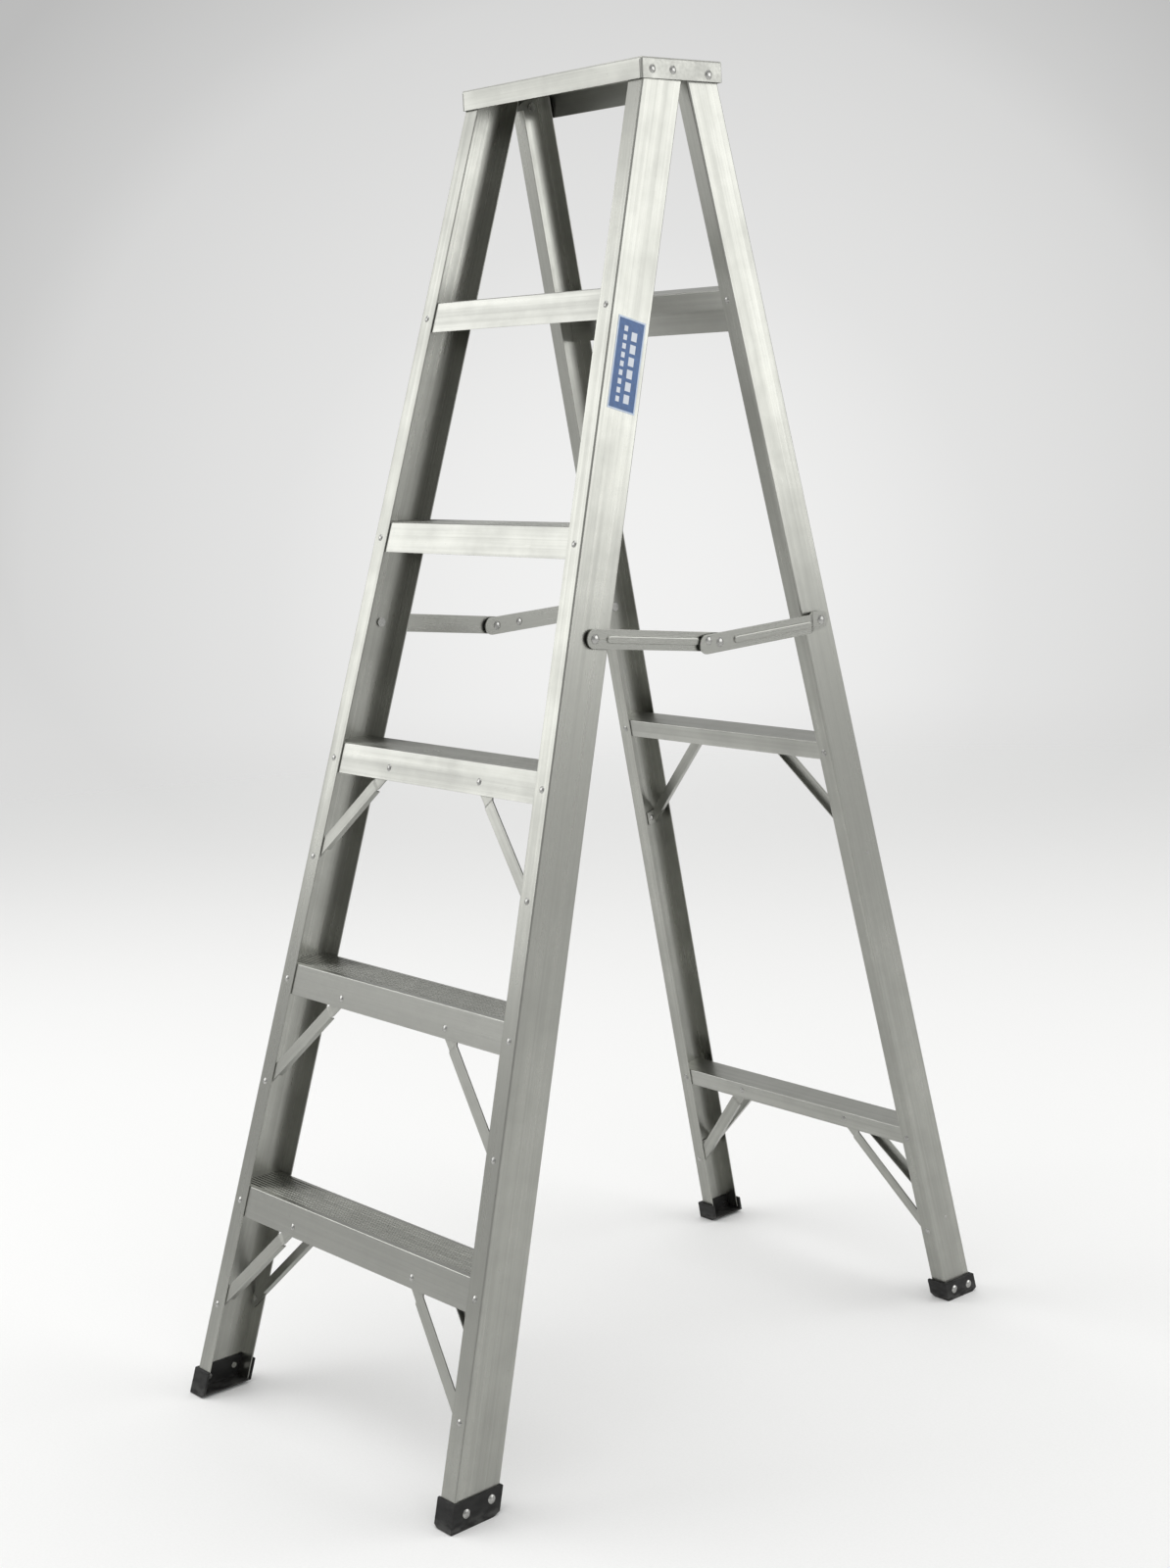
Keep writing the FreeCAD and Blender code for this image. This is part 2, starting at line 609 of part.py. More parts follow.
lowest = TREAD_COUNT
for side, word in SIDES:
    top_end, foot_end = brace_ends(front, side, tread_rear_s[lowest], *REAR_BRACE)
    inner_face = FRONT_RAIL_DEPTH - FRONT_RAIL_WALL
    faces = (inner_face - TREAD_WALL, inner_face)
    step_at = leaves_at(top_end, foot_end, tread_rear_s[lowest] - TREAD_REAR_HEIGHT)
    name = "tread_%d_rear_brace_%s" % (lowest, word)
    brace = strap(front, top_end, foot_end, faces, step_at, -1, -side)
    parts[name] = brace.cut(above(tread_under_z(lowest) - BRACE_TOP_GAP))
    point = front.point(top_end[0], inner_face, top_end[1])
    fasten("front_brace_rivets", (name, "tread_%d" % lowest), point, front.along(0, -1, 0),
           tread_grip, SMALL_RIVET)
    point = front.point(foot_end[0], FRONT_RAIL_DEPTH, foot_end[1])
    fasten("front_brace_rivets", (name, "front_rail_" + word), point, front.along(0, -1, 0),
           grip, SMALL_RIVET)

# ---------------------------------------------------------------- rear cross bars
bar_front = REAR_RAIL_WALL
bar_back = REAR_RAIL_WALL + BAR_DEPTH
for word in BARS:
    s_top, rear_height = BARS[word]
    profile = [(bar_front, s_top, BAR_EDGE_RADIUS), (bar_back, s_top, BAR_EDGE_RADIUS),
               (bar_back, s_top - rear_height, 0), (bar_back - BAR_WALL, s_top - rear_height, 0),
               (bar_back - BAR_WALL, s_top - BAR_WALL, 0), (bar_front + BAR_WALL, s_top - BAR_WALL, 0),
               (bar_front + BAR_WALL, s_top - BAR_FLANGE, 0), (bar_front, s_top - BAR_FLANGE, 0)]
    bar = across(profile, REAR_HALF_WIDTH)
    bar.Placement = rear.frame
    name = "rear_bar_" + word
    parts[name] = between_webs(rear, bar, TREAD_END_GAP)
    s = s_top - BAR_RIVET_DROP
    for side, hand in SIDES:
        x = side * (rear.half_at(s) - FLANGE_RIVET_INSET)
        fasten("rear_bar_rivets", (name, "rear_rail_" + hand), rear.point(x, 0, s),
               rear.along(0, 1, 0), REAR_RAIL_WALL + BAR_WALL, SMALL_RIVET)

bar_grip = BAR_WALL + BRACE_WALL
rail_grip = REAR_RAIL_WALL + BRACE_WALL
s_bar = BARS["bottom"][0]
for side, word in SIDES:
    top_end, foot_end = brace_ends(rear, side, s_bar, *BOTTOM_BRACE)
    faces = (REAR_RAIL_WALL + BAR_WALL, REAR_RAIL_WALL)
    step_at = leaves_at(top_end, foot_end, s_bar - BAR_FLANGE)
    name = "bottom_bar_brace_" + word
    brace = strap(rear, top_end, foot_end, faces, step_at, 1, -side)
    parts[name] = brace.cut(rear.above_s(s_bar - BAR_WALL - BRACE_TOP_GAP))
    fasten("rear_brace_rivets", (name, "rear_bar_bottom"), rear.point(top_end[0], bar_front, top_end[1]),
           rear.along(0, 1, 0), bar_grip, SMALL_RIVET)
    fasten("rear_brace_rivets", (name, "rear_rail_" + word), rear.point(foot_end[0], 0, foot_end[1]),
           rear.along(0, 1, 0), rail_grip, SMALL_RIVET)


def tabbed_brace(bar_word, side, hand, reach_in, drop, foot_drop, name):
    """A brace inside a bar's rear flange, with a bent tab riveted to the rail's web."""
    s_top = BARS[bar_word][0]
    plate = bar_back - BAR_WALL
    inset = REAR_RAIL_WALL + BRACE_WALL
    top_end, foot_end = brace_ends(rear, side, s_top, reach_in, drop, inset, foot_drop)
    foot_s = foot_end[1]
    body = strap(rear, top_end, foot_end, (plate, plate), BRACE_LIP_INSET, -1, -side)
    outs = (-REAR_RAIL_WALL - BRACE_WALL, -REAR_RAIL_WALL)
    depths = (plate - BRACE_TAB_DEPTH, plate)
    lengths = (foot_s - BRACE_TAB_HEIGHT / 2, foot_s + BRACE_TAB_HEIGHT / 2)
    body = body.cut(rear.rail_box(side, (outs[0], REACH / 2), (-REACH / 2, REACH / 2), (-REACH, REACH)))
    root = (outs[0] - BRACE_WALL, outs[0])
    fold = rear.rail_box(side, root, (plate - BRACE_WALL, plate), lengths)
    body = body.fuse([rear.rail_box(side, outs, depths, lengths), fold]).removeSplitter()
    parts[name] = body.cut(rear.above_s(s_top - BAR_WALL - BRACE_TOP_GAP))
    fasten("rear_brace_rivets", (name, "rear_bar_" + bar_word),
           rear.point(top_end[0], bar_back, top_end[1]), rear.along(0, -1, 0), bar_grip, SMALL_RIVET)
    head = rear.web_point(side, outs[0], plate - BRACE_TAB_DEPTH / 2 - BRACE_WALL / 2, foot_s)
    flush = SMALL_RIVET[:3] + (SMALL_RIVET[2], 0.0)
    fasten("rear_brace_rivets", (name, "rear_rail_" + hand), head, rear.web_normal(side),
           rail_grip, flush)


for side, word in SIDES:
    tabbed_brace("middle", side, word, *MIDDLE_BRACE, "middle_bar_brace_" + word)
    tabbed_brace("bottom", side, word, *BOTTOM_REAR_BRACE, "bottom_bar_rear_brace_" + word)


# ---------------------------------------------------------------- shoes
def shoe(section, side, height, outer_wall, inner_wall, ahead, behind):
    """A moulded shoe on the foot of one rail, cut level at the top and the sole.

    Slots take the web and the flanges, a liner backs the web and the inner side is open.
    """
    lean = section.along(0, 0, 1)
    slope = lean.y / lean.z
    front_low = section.point(0, -ahead, 0)
    rear_low = section.point(0, section.depth + behind, 0)

    def y_on(point, z):
        return point.y + (z - point.z) * slope

    profile = [(y_on(front_low, 0), 0, SHOE_EDGE_RADIUS),
               (y_on(rear_low, 0) - SHOE_HEEL_RUN, 0, 0),
               (y_on(rear_low, SHOE_HEEL_RISE), SHOE_HEEL_RISE, 0),
               (y_on(rear_low, height), height, SHOE_EDGE_RADIUS),
               (y_on(front_low, height), height, SHOE_EDGE_RADIUS)]
    body = across(profile, REACH / 2)
    everywhere = (-REACH / 2, REACH / 2)
    body = body.common(section.rail_box(side, (-inner_wall, outer_wall), everywhere, everywhere))
    gap = SHOE_POCKET_GAP
    web = section.wall + gap
    flange = section.flange + gap
    back = section.depth + gap
    room = section.rail_box(side, (-web, gap), (-gap, back), everywhere)
    slots = [section.rail_box(side, (-flange, gap), (-gap, web), everywhere),
             section.rail_box(side, (-flange, gap), (section.depth - web, back), everywhere),
             section.rail_box(side, (-inner_wall - gap, -web - SHOE_LINER), (0, section.depth), everywhere)]
    body = body.cut(room.fuse(slots).common(above(SHOE_SOLE)))
    edge_x = section.half_width - inner_wall
    wedge = [Vec(side * (edge_x - inner_wall), -REACH / 2, -SHOE_INNER_RISE),
             Vec(side * (edge_x + SHOE_INNER_RUN), -REACH / 2, 0),
             Vec(side * edge_x, -REACH / 2, SHOE_INNER_RISE),
             Vec(side * (edge_x - inner_wall), -REACH / 2, SHOE_INNER_RISE)]
    wedge = Part.Face(Part.makePolygon(wedge + wedge[:1])).extrude(Vec(0, REACH, 0))
    return body.cut(wedge)


def shoe_rivet_places(y_on, depth, ahead, behind):
    """World y and z of a shoe's two rivets, from the rail's front and back edges."""
    return ((y_on(0, ahead[1]) + ahead[0], ahead[1]), (y_on(depth, behind[1]) - behind[0], behind[1]))


front_shoe_rivets = shoe_rivet_places(front_y, FRONT_RAIL_DEPTH, FRONT_SHOE_RIVET_AHEAD,
                                      FRONT_SHOE_RIVET_BEHIND)
rear_shoe_rivets = shoe_rivet_places(rear_y, REAR_RAIL_DEPTH, REAR_SHOE_RIVET_AHEAD,
                                     REAR_SHOE_RIVET_BEHIND)
for side, word in SIDES:
    name = "front_shoe_" + word
    parts[name] = shoe(front, side, FRONT_SHOE_HEIGHT, FRONT_SHOE_OUTER, FRONT_SHOE_INNER,
                       FRONT_SHOE_AHEAD, FRONT_SHOE_BEHIND)
    inward = front.web_normal(side) * -1
    for y, z in front_shoe_rivets:
        place = front.local(y, z)
        head = front.web_point(side, FRONT_SHOE_OUTER, place.y, place.z)
        fasten("front_shoe_rivets", (name, "front_rail_" + word), head, inward,
               FRONT_SHOE_OUTER + FRONT_RAIL_WALL + SHOE_POCKET_GAP + SHOE_LINER, LARGE_RIVET)
    name = "rear_shoe_" + word
    parts[name] = shoe(rear, side, REAR_SHOE_HEIGHT, REAR_SHOE_OUTER, REAR_SHOE_INNER,
                       REAR_SHOE_AHEAD, REAR_SHOE_BEHIND)
    inward = rear.web_normal(side) * -1
    for y, z in rear_shoe_rivets:
        place = rear.local(y, z)
        head = rear.web_point(side, REAR_SHOE_OUTER, place.y, place.z)
        fasten("rear_shoe_rivets", (name, "rear_rail_" + word), head, inward,
               REAR_SHOE_OUTER + REAR_RAIL_WALL + SHOE_POCKET_GAP + SHOE_LINER, LARGE_RIVET)

# ---------------------------------------------------------------- spreaders
pivot_b = rear.point(0, SPREADER_REAR_D, SPREADER_REAR_S)
half_span = (pivot_b - pivot_a).Length / 2
link_length = math.hypot(half_span, SPREADER_DROP)
span_way = (pivot_b - pivot_a).normalize()
pivot_c = (pivot_a + pivot_b) * 0.5 + AXIS_X.cross(span_way) * -SPREADER_DROP


def slot_solid(start, end, radius, x_low, x_high):
    """A strip with round ends between two points seen from the side."""
    start = Vec(x_low, start.y, start.z)
    end = Vec(x_low, end.y, end.z)
    way = (end - start).normalize()
    up = AXIS_X.cross(way)
    corners = [start + up * radius, start - way * radius, start - up * radius,
               end - up * radius, end + way * radius, end + up * radius]
    edges = [Part.Arc(corners[0], corners[1], corners[2]).toShape(),
             Part.makeLine(corners[2], corners[3]),
             Part.Arc(corners[3], corners[4], corners[5]).toShape(),
             Part.makeLine(corners[5], corners[0])]
    return Part.Face(Part.Wire(edges)).extrude(Vec(x_high - x_low, 0, 0))


def ordered(side, low, high):
    return min(side * low, side * high), max(side * low, side * high)


def bead(side, start, way, first, last, x_face):
    """The raised stiffening rib pressed along a link."""
    sunk = x_face - LINK_WALL / 2
    low, high = ordered(side, sunk, x_face + BEAD_HEIGHT)
    rib = slot_solid(start + way * first, start + way * last, BEAD_HALF_WIDTH, low, high)
    crest = side * (x_face + BEAD_HEIGHT)
    rim = [edge for edge in rib.Edges if abs(edge.CenterOfMass.x - crest) < 0.01]
    return rib.makeFillet(BEAD_EDGE_RADIUS, rim)


for side, word in SIDES:
    outward = Vec(side, 0, 0)
    inward = Vec(-side, 0, 0)
    front_is_outer = side == LEFT
    front_x = LINK_INNER_X + (LINK_LAP_STEP if front_is_outer else 0.0)
    rear_x = LINK_INNER_X + (0.0 if front_is_outer else LINK_LAP_STEP)

    # Front link: straight, from the front rail to the middle pivot.
    way = (pivot_c - pivot_a).normalize()
    low, high = ordered(side, front_x, front_x + LINK_WALL)
    link = slot_solid(pivot_a, pivot_c, LINK_HALF_HEIGHT, low, high)
    rib = bead(side, pivot_a, way, FRONT_BEAD[0], link_length - FRONT_BEAD[1], front_x + LINK_WALL)
    front_link = "spreader_front_link_" + word
    parts[front_link] = link.fuse(rib).removeSplitter()

    # Rear link: laps past the middle pivot and jogs inwards to the rear rail.
    way = (pivot_b - pivot_c).normalize()
    up = AXIS_X.cross(way)
    tail = LINK_TAIL[side] + LINK_HALF_HEIGHT
    tip = link_length + LINK_HALF_HEIGHT
    path = [(-tail, rear_x), (link_length - LINK_JOG_START, rear_x),
            (link_length - LINK_JOG_END, LINK_REAR_X), (tip, LINK_REAR_X)]
    loop = [(a, b, 0) for a, b in path] + [(a, b + LINK_WALL, 0) for a, b in reversed(path)]
    base = Vec(0, pivot_c.y, pivot_c.z) - up * LINK_HALF_HEIGHT
    face = rounded_face(loop, lambda a, b: base + way * a + outward * b)
    sheet = face.extrude(up * (2 * LINK_HALF_HEIGHT))
    outline = slot_solid(pivot_c - way * LINK_TAIL[side], pivot_b, LINK_HALF_HEIGHT, -REACH / 2, REACH / 2)
    link = sheet.common(outline)
    rib = bead(side, pivot_c, way, REAR_BEAD_START[side],
               link_length - REAR_BEAD_END, rear_x + LINK_WALL)
    rear_link = "spreader_rear_link_" + word
    parts[rear_link] = link.fuse(rib).removeSplitter()

    # Front pivot, with a spacer that seats on the leaning web.
    head = Vec(side * (front_x + LINK_WALL + SPACER_GAP), pivot_a.y, pivot_a.z)
    web_x = front.half_at(SPREADER_FRONT_S) - FRONT_RAIL_WALL
    grip = abs(head.x) - web_x + WEB_TILT_GAP
    parts["spreader_front_pivot_" + word] = rivet(head, inward, grip, PIVOT_RIVET)
    hole_radius = PIVOT_RIVET[2] + PIVOT_HOLE_GAP
    drill(("front_rail_" + word, front_link), head, inward, grip, hole_radius)
    start = Vec(side * (front_x - SPACER_GAP), pivot_a.y, pivot_a.z)
    spacer = cylinder(start, inward, SPACER_RADIUS, LINK_HALF_HEIGHT)
    everywhere = (-REACH / 2, REACH / 2)
    spacer = spacer.cut(front.rail_box(side, (-REACH / 2, 0), everywhere, (-REACH, REACH)))
    spacer = spacer.cut(cylinder(head, inward, hole_radius, grip))
    groups.setdefault("spreader_front_spacers", []).append(spacer)

    # Rear pivot, on the rear rail.
    head = Vec(side * (LINK_REAR_X + LINK_WALL + SPACER_GAP), pivot_b.y, pivot_b.z)
    web_x = rear.half_at(SPREADER_REAR_S) - REAR_RAIL_WALL
    grip = abs(head.x) - web_x + WEB_TILT_GAP
    parts["spreader_rear_pivot_" + word] = rivet(head, inward, grip, PIVOT_RIVET)
    drill(("rear_rail_" + word, rear_link), head, inward, grip, hole_radius)
    start = Vec(side * (LINK_REAR_X - SPACER_GAP), pivot_b.y, pivot_b.z)
    spacer = cylinder(start, inward, SPACER_RADIUS, LINK_HALF_HEIGHT)
    spacer = spacer.cut(rear.rail_box(side, (-REACH / 2, 0), everywhere, (-REACH, REACH)))
    spacer = spacer.cut(cylinder(head, inward, hole_radius, grip))
    groups.setdefault("spreader_rear_spacers", []).append(spacer)

    # Middle pivot, in two halves that meet in the lap between the links.
    inner_link = rear_link if front_is_outer else front_link
    outer_link = front_link if front_is_outer else rear_link
    inner_far = LINK_INNER_X
    lap_face = LINK_INNER_X + LINK_LAP_STEP
    head = Vec(side * inner_far, pivot_c.y, pivot_c.z)
    reach = lap_face - LAP_GAP - inner_far
    stub = PIVOT_RIVET[:3] + (PIVOT_RIVET[2], 0.0)
    parts["spreader_mid_pin_inner_" + word] = rivet(head, outward, reach, stub)
    drill((inner_link,), head, outward, reach, PIVOT_RIVET[2] + RIVET_HOLE_GAP)
    head = Vec(side * (lap_face + LINK_WALL), pivot_c.y, pivot_c.z)
    parts["spreader_mid_pin_outer_" + word] = rivet(head, inward, LINK_WALL, stub)
    drill((outer_link,), head, inward, LINK_WALL, PIVOT_RIVET[2] + RIVET_HOLE_GAP)

    # Stop stud on the rear link's free face.
    along, lift = STOP_STUD[side]
    spot = pivot_c + way * along + up * lift
    if front_is_outer:
        head = Vec(side * rear_x, spot.y, spot.z)
        fasten("spreader_stop_stud_" + word, (rear_link,), head, outward, LINK_WALL, STUD_RIVET)
    else:
        head = Vec(side * (rear_x + LINK_WALL), spot.y, spot.z)
        fasten("spreader_stop_stud_" + word, (rear_link,), head, inward, LINK_WALL, STUD_RIVET)

# ---------------------------------------------------------------- label
label_s = tuple(tread_s(1) - below for below in LABEL_BELOW_TREAD)
parts["label"] = front.rail_box(RIGHT, (0.0, LABEL_WALL), LABEL_D, label_s)

# ---------------------------------------------------------------- holes, frame, files
for name, tools in holes.items():
    parts[name] = parts[name].cut(tools)
for name, solids in groups.items():
    parts[name] = Part.makeCompound(solids)

whole = Part.makeCompound(list(parts.values())).BoundBox
shift = Vec(0, -(whole.YMin + whole.YMax) / 2, -whole.ZMin)
os.makedirs("parts", exist_ok=True)
for name, shape in parts.items():
    placed = shape.copy()
    placed.translate(shift)
    placed.exportStep("parts/" + name + ".step")
print("nodes", len(parts), "shift", shift, "fold", FOLD_Y + shift.y, FOLD_Z)
print("pivot a", pivot_a + shift, "b", pivot_b + shift, "c", pivot_c + shift)
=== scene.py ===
import math

import bmesh
import bpy
from bpy.props import FloatProperty, FloatVectorProperty, PointerProperty
from mathutils import Matrix, Vector

bl_info = {
    "name": "Aluminium Step Ladder",
    "version": (1, 0, 0),
    "blender": (4, 5, 0),
    "location": "3D View > Sidebar > Step Ladder",
    "description": "Finishes for a folding aluminium step ladder, with a plain studio",
    "category": "Object",
}

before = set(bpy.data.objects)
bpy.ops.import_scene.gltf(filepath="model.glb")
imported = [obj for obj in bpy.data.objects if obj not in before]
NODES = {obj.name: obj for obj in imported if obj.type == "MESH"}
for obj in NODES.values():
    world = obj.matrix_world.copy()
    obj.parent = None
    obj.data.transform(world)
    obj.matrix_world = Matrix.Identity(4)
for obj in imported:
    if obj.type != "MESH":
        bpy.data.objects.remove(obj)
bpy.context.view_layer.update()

# Soft lights: where each stands, what it faces and its width and height, in metres.
LEFT_WINDOW = ((-3.3, -2.7, 2.5), (0, 0, 1.7), (4.0, 2.4))
RIGHT_WINDOW = ((3.3, 2.8, 2.35), (0, 0, 2.35), (4.2, 2.6))
OVERHEAD = ((-0.5, -0.2, 4.2), (0, 0, 0), (4.5, 4.5))

SENSOR_WIDTH = 36.0
SIDE_SHIFT = -0.0045
NEAREST = 0.05
FARTHEST = 60.0
FLOOR_SEGMENTS = 96
PRINT_EDGE = 0.0003
SMALL_BLOCKS = 9
LARGE_BLOCKS = 6

RAIL_NODES = [name for name in NODES if "_rail_" in name]
TREAD_NODES = [name for name in NODES if name.startswith("tread_") and name[-1].isdigit()]
BAR_NODES = [name for name in NODES if name.startswith("rear_bar_") and "rivets" not in name]
BRACE_NODES = [name for name in NODES if "brace" in name and "rivets" not in name]
LINK_NODES = [name for name in NODES if "_link_" in name]
SHOE_NODES = [name for name in NODES if "_shoe_" in name and "rivets" not in name]
SPACER_NODES = [name for name in NODES if "spacers" in name]
RIVET_NODES = [name for name in NODES if "rivets" in name or "pivot" in name
               or "_pin_" in name or "_stud_" in name]


# ------------------------------------------------------------------ node helpers
def fresh_material(name):
    """An empty material with a Principled surface joined to its output."""
    made = bpy.data.materials.new(name)
    made.use_nodes = True
    tree = made.node_tree
    tree.nodes.clear()
    output = tree.nodes.new("ShaderNodeOutputMaterial")
    surface = tree.nodes.new("ShaderNodeBsdfPrincipled")
    tree.links.new(surface.outputs["BSDF"], output.inputs["Surface"])
    return made, tree, surface


def dress(names, made):
    """Puts one material on every slot of the named CAD nodes."""
    for name in names:
        mesh = NODES[name].data
        if not mesh.materials:
            mesh.materials.append(made)
        for index in range(len(mesh.materials)):
            mesh.materials[index] = made


def place(tree, grain=None):
    """Object coordinates, turned so that Z runs along the grain."""
    spot = tree.nodes.new("ShaderNodeTexCoord")
    if grain is None:
        return spot.outputs["Object"]
    turn = grain.rotation_difference(Vector((0, 0, 1))).to_euler("XYZ")
    mapping = tree.nodes.new("ShaderNodeMapping")
    mapping.vector_type = "POINT"
    mapping.inputs["Rotation"].default_value = turn
    tree.links.new(spot.outputs["Object"], mapping.inputs["Vector"])
    return mapping.outputs["Vector"]


def noise(tree, where, scale, detail=3.0, roughness=0.55, stretch=(1, 1, 1)):
    """Noise whose cells are stretched by a mapping."""
    mapping = tree.nodes.new("ShaderNodeMapping")
    mapping.inputs["Scale"].default_value = stretch
    tree.links.new(where, mapping.inputs["Vector"])
    made = tree.nodes.new("ShaderNodeTexNoise")
    made.inputs["Scale"].default_value = scale
    made.inputs["Detail"].default_value = detail
    made.inputs["Roughness"].default_value = roughness
    tree.links.new(mapping.outputs["Vector"], made.inputs["Vector"])
    return made.outputs["Fac"]


def reshape(tree, value, low, high, out_low=0.0, out_high=1.0):
    """Maps one range of a value to another, smoothly and clamped."""
    made = tree.nodes.new("ShaderNodeMapRange")
    made.interpolation_type = "SMOOTHSTEP"
    made.inputs["From Min"].default_value = low
    made.inputs["From Max"].default_value = high
    made.inputs["To Min"].default_value = out_low
    made.inputs["To Max"].default_value = out_high
    tree.links.new(value, made.inputs["Value"])
    return made.outputs["Result"]


def combine(tree, kind, first, second):
    """One arithmetic step between two values, or a value and a number."""
    made = tree.nodes.new("ShaderNodeMath")
    made.operation = kind
    for socket, item in zip(made.inputs, (first, second)):
        if isinstance(item, (int, float)):
            socket.default_value = item
        else:
            tree.links.new(item, socket)
    return made.outputs["Value"]


def ramp(tree, value, stops):
    """A colour ramp through the stated positions and colours."""
    made = tree.nodes.new("ShaderNodeValToRGB")
    made.color_ramp.elements[0].position = stops[0][0]
    made.color_ramp.elements[0].color = (*stops[0][1], 1)
    made.color_ramp.elements[1].position = stops[-1][0]
    made.color_ramp.elements[1].color = (*stops[-1][1], 1)
    for position, colour in stops[1:-1]:
        made.color_ramp.elements.new(position).color = (*colour, 1)
    tree.links.new(value, made.inputs["Fac"])
    return made.outputs["Color"]


def blend_colours(tree, share, first, second):
    """Mixes two colours by a share; either may be a socket or a plain colour."""
    made = tree.nodes.new("ShaderNodeMix")
    made.data_type = "RGBA"
    tree.links.new(share, made.inputs[0])
    for socket, item in ((made.inputs[6], first), (made.inputs[7], second)):
        if isinstance(item, tuple):
            socket.default_value = (*item, 1)
        else:
            tree.links.new(item, socket)
    return made.outputs[2]


def relief(tree, surface, height, distance, strength=1.0, edge=0.0):
    """Fine surface relief, over edges that are softened by a small radius."""
    bump = tree.nodes.new("ShaderNodeBump")
    bump.inputs["Strength"].default_value = strength
    bump.inputs["Distance"].default_value = distance
    tree.links.new(height, bump.inputs["Height"])
    if edge > 0:
        soft = tree.nodes.new("ShaderNodeBevel")
        soft.samples = 4
        soft.inputs["Radius"].default_value = edge
        tree.links.new(soft.outputs["Normal"], bump.inputs["Normal"])
    tree.links.new(bump.outputs["Normal"], surface.inputs["Normal"])


def scaled(colour, amount):
    return tuple(min(1.0, part * amount) for part in colour)


# ------------------------------------------------------------------ shapes of the nodes
def long_way(name):
    """The direction of a node's longest crease, which is the way its metal was drawn."""
    shape = bmesh.new()
    shape.from_mesh(NODES[name].data)
    best = Vector((1, 0, 0))
    longest = 0.0
    for edge in shape.edges:
        run = edge.verts[1].co - edge.verts[0].co
        if run.length <= longest:
            continue
        if len(edge.link_faces) == 2 and edge.calc_face_angle(0.0) < 0.2:
            continue
        best = run.normalized()
        longest = run.length
    shape.free()
    return best if best.z >= 0 else -best


# ------------------------------------------------------------------ finishes
def drawn_aluminium(name, grain, tone, roughness, sheen_lines, scuffs, edge=0.0006):
    """Mill-finish aluminium: die lines along the grain, cloudy oxide and light scuffs."""
    made, tree, surface = fresh_material(name)
    where = place(tree, grain)
    fine = noise(tree, where, 1.0, 4.0, 0.6, (1500, 1500, 5))
    lines = noise(tree, where, 1.0, 2.0, 0.5, (230, 230, 1.4))
    broad = noise(tree, where, 1.0, 2.0, 0.5, (46, 46, 2.2))
    cloud = noise(tree, where, 14.0, 4.0, 0.6)
    rubs = noise(tree, where, 1.0, 3.0, 0.7, (620, 620, 42))
    rub_mask = reshape(tree, rubs, 0.62, 0.74)
    specks = noise(tree, where, 260.0, 2.0, 0.5)
    speck_mask = reshape(tree, specks, 0.70, 0.76)

    mixed = combine(tree, "MULTIPLY", fine, 0.20)
    mixed = combine(tree, "ADD", mixed, combine(tree, "MULTIPLY", lines, 0.25))
    mixed = combine(tree, "ADD", mixed, combine(tree, "MULTIPLY", broad, 0.25))
    mixed = combine(tree, "ADD", mixed, combine(tree, "MULTIPLY", cloud, 0.30))
    shade = ramp(tree, mixed, [
        (0.36, scaled(tone, 1.0 - sheen_lines)),
        (0.47, scaled(tone, 1.0 - sheen_lines * 0.35)),
        (0.53, scaled(tone, 1.0 + sheen_lines * 0.2)),
        (0.64, scaled(tone, 1.0 + sheen_lines)),
    ])
    shade = blend_colours(tree, combine(tree, "MULTIPLY", rub_mask, scuffs), shade, scaled(tone, 1.25))
    shade = blend_colours(tree, combine(tree, "MULTIPLY", speck_mask, 0.35), shade, scaled(tone, 0.62))
    tree.links.new(shade, surface.inputs["Base Color"])
    surface.inputs["Metallic"].default_value = 1.0
    gloss = reshape(tree, mixed, 0.36, 0.64, roughness + 0.07, roughness - 0.05)
    gloss = combine(tree, "ADD", gloss, combine(tree, "MULTIPLY", rub_mask, 0.10 * scuffs))
    tree.links.new(gloss, surface.inputs["Roughness"])
    height = combine(tree, "MULTIPLY", fine, 0.5)
    height = combine(tree, "ADD", height, combine(tree, "MULTIPLY", lines, 0.9))
    height = combine(tree, "SUBTRACT", height, combine(tree, "MULTIPLY", rub_mask, 0.3 * scuffs))
    relief(tree, surface, height, 0.00012, 0.55, edge)
    return made


def rivet_metal(tone):
    """Formed rivet heads: bright crowns with a little grime."""
    made, tree, surface = fresh_material("rivet aluminium")
    where = place(tree)
    grit = noise(tree, where, 900.0, 3.0, 0.6)
    cloud = noise(tree, where, 120.0, 3.0, 0.6)
    mixed = combine(tree, "MULTIPLY", grit, 0.4)
    mixed = combine(tree, "ADD", mixed, combine(tree, "MULTIPLY", cloud, 0.6))
    shade = ramp(tree, mixed, [(0.38, scaled(tone, 0.72)), (0.5, tone), (0.62, scaled(tone, 1.15))])
    tree.links.new(shade, surface.inputs["Base Color"])
    surface.inputs["Metallic"].default_value = 1.0
    tree.links.new(reshape(tree, mixed, 0.38, 0.62, 0.30, 0.17), surface.inputs["Roughness"])
    relief(tree, surface, mixed, 0.00008, 0.5, 0.0003)
    return made


